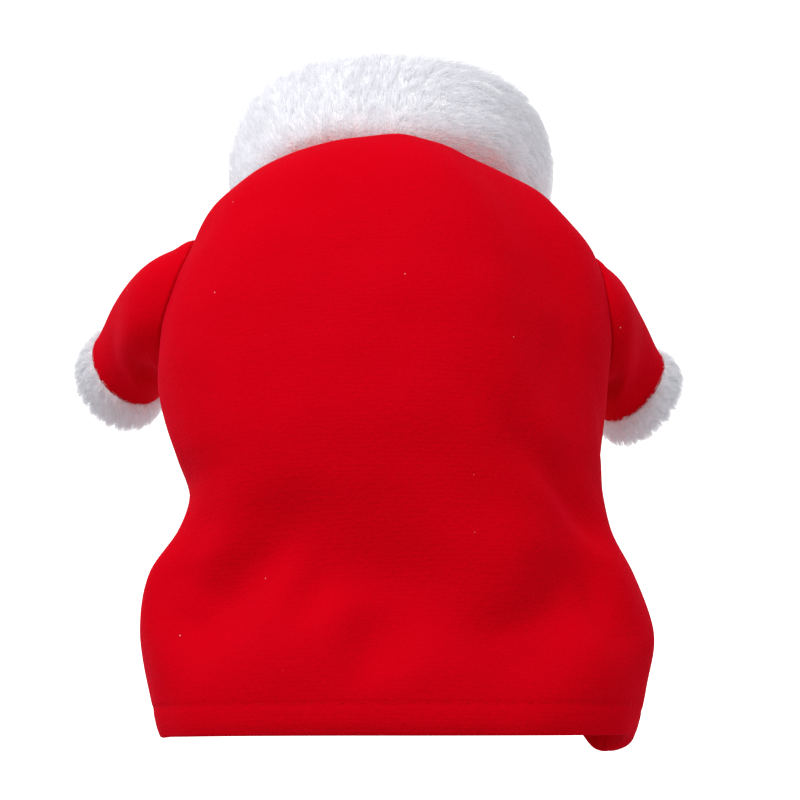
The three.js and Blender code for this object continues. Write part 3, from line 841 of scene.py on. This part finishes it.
def ring_band(name, surface, skin, columns, rows):
    """A band closed on itself round the neckline or a sleeve's end, from its section."""
    section, _ = closed_curve(skin, rows)
    angle = np.repeat(np.linspace(0, 2 * math.pi, columns, endpoint=False)[:, None], rows, 1)
    along, out = (np.broadcast_to(section[:, k], angle.shape) for k in (0, 1))
    points = surface(angle, along, out).reshape(-1, 3)
    column, row = np.meshgrid(np.arange(columns), np.arange(rows), indexing="ij")
    column, row = column.ravel(), row.ravel()
    after = (column + 1) % columns * rows
    upper = (row + 1) % rows
    faces = np.stack([column * rows + row, column * rows + upper, after + upper, after + row], 1)
    a, b, c, d = (points[faces[:, k]] for k in range(4))
    volume = (np.einsum("ij,ij->i", a, np.cross(b, c)) + np.einsum("ij,ij->i", a, np.cross(c, d))).sum()
    if volume < 0:
        faces = faces[:, ::-1]
    return mesh_object(name, points, faces)


def strands(name, points, normals, shade):
    """Tapered strands of five points, a strip and a tip each. Their colours hold a shade and the height."""
    count = len(points)
    first = 5 * np.arange(count)
    mesh = bpy.data.meshes.new(name)
    mesh.vertices.add(5 * count)
    mesh.vertices.foreach_set("co", in_place(points.reshape(-1, 3)).astype(np.float32).ravel())
    corner = np.stack([first, first + 1, first + 2, first + 3, first + 3, first + 2, first + 4], 1)
    mesh.loops.add(7 * count)
    mesh.loops.foreach_set("vertex_index", corner.astype(np.int32).ravel())
    mesh.polygons.add(2 * count)
    starts = np.stack([7 * np.arange(count), 7 * np.arange(count) + 4], 1)
    mesh.polygons.foreach_set("loop_start", starts.astype(np.int32).ravel())
    mesh.polygons.foreach_set("use_smooth", np.ones(2 * count, bool))
    mesh.update(calc_edges=True)
    leant_normals = in_place(neck_middle + normals) / MM
    mesh.normals_split_custom_set_from_vertices(np.repeat(leant_normals, 5, 0).astype(np.float32))
    height = np.broadcast_to(np.array([0, 0, 0.55, 0.55, 1.0]), (count, 5))
    shades = np.repeat(shade[:, None], 5, 1)
    colour = np.stack([shades, height, np.zeros((count, 5)), np.ones((count, 5))], -1)
    layer = mesh.color_attributes.new("strand", "FLOAT_COLOR", "POINT")
    layer.data.foreach_set("color", colour.astype(np.float32).ravel())
    made = bpy.data.objects.new(name, mesh)
    scene.collection.objects.link(made)
    return made


def nearest_tuft(round_place, across_place, jitter_round, jitter_across):
    """The tuft of each strand, on a jittered grid round and across the band, and the way to its middle."""
    rounds, rows = jitter_round.shape
    best = np.full(len(round_place), 1e9)
    tuft_round, tuft_across = (np.zeros(len(round_place), int) for _ in range(2))
    to_round, to_across = (np.zeros(len(round_place)) for _ in range(2))
    for step_round in (-1, 0, 1):
        for step_across in (-1, 0, 1):
            cell_round = np.floor(round_place).astype(int) + step_round
            cell_across = np.floor(across_place).astype(int) + step_across
            at_round, at_across = cell_round % rounds, cell_across % rows
            gap_round = cell_round + 0.5 + jitter_round[at_round, at_across] - round_place
            gap_across = cell_across + 0.5 + jitter_across[at_round, at_across] - across_place
            far = gap_round ** 2 + gap_across ** 2
            nearer = far < best
            best = np.where(nearer, far, best)
            tuft_round = np.where(nearer, at_round, tuft_round)
            tuft_across = np.where(nearer, at_across, tuft_across)
            to_round = np.where(nearer, gap_round, to_round)
            to_across = np.where(nearer, gap_across, to_across)
    return (tuft_round, tuft_across), to_round, to_across


section_steps = 400
gather = 0.3
droop = 0.06
bow = 0.12
root_depth = 0.4


def pile(name, surface, skin, count, length, width, seed, stand, lay, inner_share, tuft):
    """Loose pile on a band: count tapered strands, gathered into tufts of a width in mm. stand is how steeply
    they leave the ground, lay gives how far they are combed round the band and up it, by the degrees round,
    and those on the band's inside have inner_share of the length."""
    rng = np.random.default_rng(seed)
    section, run = closed_curve(skin, section_steps)
    angle = rng.uniform(0, 2 * math.pi, count)
    where = rng.uniform(0, section_steps, count)
    low = where.astype(int)
    part = (where - low)[:, None]
    along, out = (section[low] * (1 - part) + section[(low + 1) % section_steps] * part).T
    root = surface(angle, along, out)
    turn_step = 1e-3
    round_way = unit(surface(angle + turn_step, along, out) - surface(angle - turn_step, along, out))
    small_rise, small_out = 0.02 * (section[(low + 2) % section_steps] - section[low - 2]).T
    up_way = unit(surface(angle, along + small_rise, out + small_out) - root)
    centre_line = surface(angle, np.full(count, section[:, 0].mean()), np.full(count, section[:, 1].mean()))
    normal = np.cross(round_way, up_way)
    normal *= np.sign(np.einsum("ij,ij->i", normal, root - centre_line))[:, None]
    normal = unit(normal)

    wide_step = 0.01
    step_length = np.linalg.norm(surface(angle + wide_step, along, out) - root, axis=1).mean()
    ring_length = step_length / wide_step * 2 * math.pi
    grid = (int(ring_length / tuft), max(3, int(run / tuft)))
    jitter_round = rng.uniform(-0.45, 0.45, grid)
    jitter_across = rng.uniform(-0.45, 0.45, grid)
    lean_round = rng.normal(0, 0.28, grid)
    lean_up = rng.normal(0, 0.16, grid)
    tall = rng.uniform(0.85, 1.1, grid)
    round_place = angle / (2 * math.pi) * grid[0]
    across_place = where / section_steps * grid[1]
    picked, to_round, to_across = nearest_tuft(round_place, across_place, jitter_round, jitter_across)
    to_tuft = round_way * (to_round * tuft)[:, None] + up_way * (to_across * tuft)[:, None]

    long = length * tall[picked] * rng.uniform(0.78, 1.08, count)
    inner = out < section[:, 1].mean() - 0.5
    long = np.where(inner, inner_share * long, long)
    sideways, upwards = lay((np.degrees(angle) + 180) % 360 - 180)
    sideways = sideways + lean_round[picked] + rng.normal(0, 0.1, count)
    upwards = upwards + lean_up[picked] + rng.normal(0, 0.08, count)
    way = unit(normal * stand + round_way * sideways[:, None] + up_way * upwards[:, None])
    fall = np.array([0, 0, -1.0]) * (droop * long)[:, None]
    tip = root + way * long[:, None] + gather * to_tuft + fall
    middle = root + 0.5 * (tip - root) + normal * (bow * long)[:, None]
    strand_way = unit(tip - root)
    flat_way = unit(np.cross(strand_way, normal) + 0.3 * rng.normal(size=(count, 3)))
    facing = np.sign(np.einsum("ij,ij->i", np.cross(flat_way, strand_way), normal))
    flat_way = flat_way * np.where(facing < 0, -1.0, 1.0)[:, None]
    half = 0.5 * width * rng.uniform(0.8, 1.2, count)[:, None]
    sunk = normal * root_depth
    points = np.stack([root - flat_way * half - sunk, root + flat_way * half - sunk,
                       middle + flat_way * half * 0.9, middle - flat_way * half * 0.9, tip], 1)
    soft_normal = unit(normal + 0.25 * way + 0.12 * rng.normal(size=(count, 3)))
    return strands(name, points, soft_normal, rng.uniform(0, 1, count))


def plush_material():
    """Long white plush: soft translucent fibres, with painted shade darkening their roots, and a little
    greyer from strand to strand.
    Their weak glow stands for the light that scatters inside the pile."""
    material, tree, shader = new_material("white_plush")
    link = tree.links.new
    strand = tree.nodes.new("ShaderNodeVertexColor")
    strand.layer_name = "strand"
    parts = tree.nodes.new("ShaderNodeSeparateColor")
    link(strand.outputs["Color"], parts.inputs["Color"])
    shade, height = parts.outputs["Red"], parts.outputs["Green"]
    # Painted shade: the roots are coloured a little darker, as the shade deep in the pile, and the tips
    # whiter.
    shaded_root_to_tip = colour_between(tree, height, 0.0, (0.82, 0.825, 0.86, 1), 0.6, (0.87, 0.875, 0.905, 1))
    tinted = tree.nodes.new("ShaderNodeVectorMath")
    tinted.operation = "SCALE"
    link(shaded_root_to_tip, tinted.inputs[0])
    link(spread_over(tree, shade, 0.95, 1.0), tinted.inputs["Scale"])
    link(tinted.outputs["Vector"], shader.inputs["Base Color"])
    shader.inputs["Roughness"].default_value = 0.75
    shader.inputs["Specular IOR Level"].default_value = 0.15
    shader.inputs["Emission Color"].default_value = (0.95, 0.955, 1.0, 1)
    shader.inputs["Emission Strength"].default_value = 0.2
    through = tree.nodes.new("ShaderNodeBsdfTranslucent")
    link(tinted.outputs["Vector"], through.inputs["Color"])
    both = tree.nodes.new("ShaderNodeMixShader")
    both.inputs["Fac"].default_value = 0.48
    link(shader.outputs["BSDF"], both.inputs[1])
    link(through.outputs["BSDF"], both.inputs[2])
    clear = tree.nodes.new("ShaderNodeBsdfTransparent")
    fibre = tree.nodes.new("ShaderNodeMixShader")
    link(spread_over(tree, height, 0.22, 0.55), fibre.inputs["Fac"])
    link(both.outputs["Shader"], fibre.inputs[1])
    link(clear.outputs["BSDF"], fibre.inputs[2])
    link(fibre.outputs["Shader"], tree.nodes["Material Output"].inputs["Surface"])
    return material


def backing_material():
    """The knitted ground that the pile grows from, seen only between the tufts."""
    material, tree, shader = new_material("plush_ground")
    place = tree.nodes.new("ShaderNodeTexCoord")
    down_fibres = noise(tree, place, 700, 5)
    tone = colour_between(tree, down_fibres, 0.3, (0.88, 0.88, 0.92, 1), 0.7, (0.96, 0.96, 0.98, 1))
    tree.links.new(tone, shader.inputs["Base Color"])
    roughen(tree, shader, down_fibres, 0.8, 0.001)
    shader.inputs["Roughness"].default_value = 0.95
    shader.inputs["Sheen Weight"].default_value = 0.3
    return material


def collar_lay(degrees):
    """Combed up at the centre back and on the left, across on the right and down over the right shoulder."""
    behind = 1 - smooth_step(np.abs(degrees), 95, 130)
    across = 0.2 + 0.95 * smooth_step(degrees, 0, 30)
    upwards = 1 - behind * (0.8 * smooth_step(degrees, 0, 35) + 0.6 * smooth_step(degrees, 50, 78))
    return behind * across, upwards


white_plush = plush_material()
plush_ground = backing_material()
collar = ring_band("collar_band", collar_point, collar_skin, columns=160, rows=48)
collar.data.materials.append(plush_ground)
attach(collar, "root")
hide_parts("collar")
collar_pile = pile("collar_pile", collar_point, collar_skin, count=64000, length=8.4, width=0.3, seed=21,
                   stand=0.27, lay=collar_lay, inner_share=0.6, tuft=4.6)
collar_pile.data.materials.append(white_plush)
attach(collar_pile, "root")

# Cuffs: a band of the same plush sewn round each sleeve end and turned back over the seam.
# The pile stands out all round and falls a little towards the open end.
cuff_depth = 11.5
# The band's section, closed: mm along the sleeve from the seam, and mm out from the seam's radius.
cuff_skin = [(0.0, 0.6), (2.3, 1.9), (5.8, 2.4), (9.2, 1.8), (10.4, 0.0), (9.8, -2.0), (6.3, -2.8),
             (2.9, -2.6), (0.0, -2.0)]


def cuff_point(size, angle, along, out):
    share = along / cuff_depth
    centre, axis, low, inward = sleeve_frame(size)
    radius = (size["radius"] + out)[..., None]
    outward = np.cos(angle)[..., None] * inward + np.sin(angle)[..., None] * low
    slide = axis * (seam_gap + share[..., None] * size["cuff_length"])
    drop = np.array([0, 0, -1.0]) * size["cuff_drop"] * share[..., None]
    return centre + slide + drop + radius * outward


def cuff_lay(degrees):
    return np.zeros(degrees.shape), np.ones(degrees.shape)


for side, seed in (("left", 31), ("right", 32)):
    def this_cuff(angle, along, out, size=sleeve_sizes[side]):
        return cuff_point(size, angle, along, out)

    band = ring_band(f"{side}_cuff_band", this_cuff, cuff_skin, columns=96, rows=32)
    band.data.materials.append(plush_ground)
    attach(band, "root")
    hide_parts(f"cuff_{side}")
    cuff_pile = pile(f"{side}_cuff_pile", this_cuff, cuff_skin, count=18000, length=5.6, width=0.28,
                     seed=seed, stand=0.5, lay=cuff_lay, inner_share=0.5, tuft=3.0)
    cuff_pile.data.materials.append(white_plush)
    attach(cuff_pile, "root")
